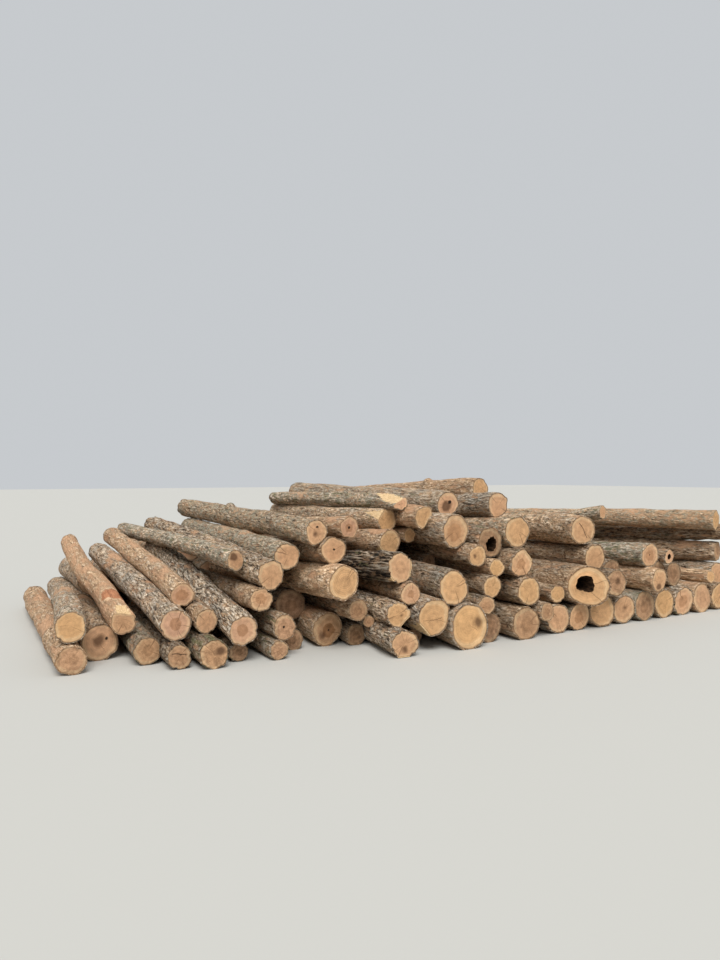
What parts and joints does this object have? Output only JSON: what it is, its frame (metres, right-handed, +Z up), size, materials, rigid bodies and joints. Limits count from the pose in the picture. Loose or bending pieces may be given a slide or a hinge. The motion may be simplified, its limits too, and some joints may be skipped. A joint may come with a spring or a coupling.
{
  "type": "heap of logs",
  "caption": "Heap of hardwood sawlogs lying roughly side by side on the ground, bark on, with their sawn ends to the front and one log hollow.",
  "frame": {"origin": "centre of the heap's bounding box at ground level", "axes": "+X along the heap to its right end as seen from the sawn ends, +Y from the sawn front ends to the back, +Z up"},
  "size_m": [11.5308, 8.1914, 2.3638],
  "materials": {
    "grey_bark": "rough furrowed grey bark, tan sawn ends",
    "brown_bark": "rough brown bark with scuffs, tan sawn ends"
  },
  "bodies": {
    "root": {"ground_course_left": "grey_bark", "ground_course_middle": "brown_bark", "ground_course_right": "grey_bark", "rear_ground_course": "grey_bark", "rear_second_course": "grey_bark", "rear_third_course": "grey_bark", "second_course_left": "brown_bark", "second_course_middle": "brown_bark", "second_course_right": "brown_bark", "hollow_log": "brown_bark", "third_course_left": "brown_bark", "third_course_middle": "brown_bark", "third_course_right": "grey_bark", "crossing_logs": "grey_bark", "upper_course_left": "grey_bark", "upper_course_middle": "brown_bark", "upper_course_right": "brown_bark", "leaning_log": "grey_bark", "top_logs": "brown_bark"}
  },
  "joints": []
}
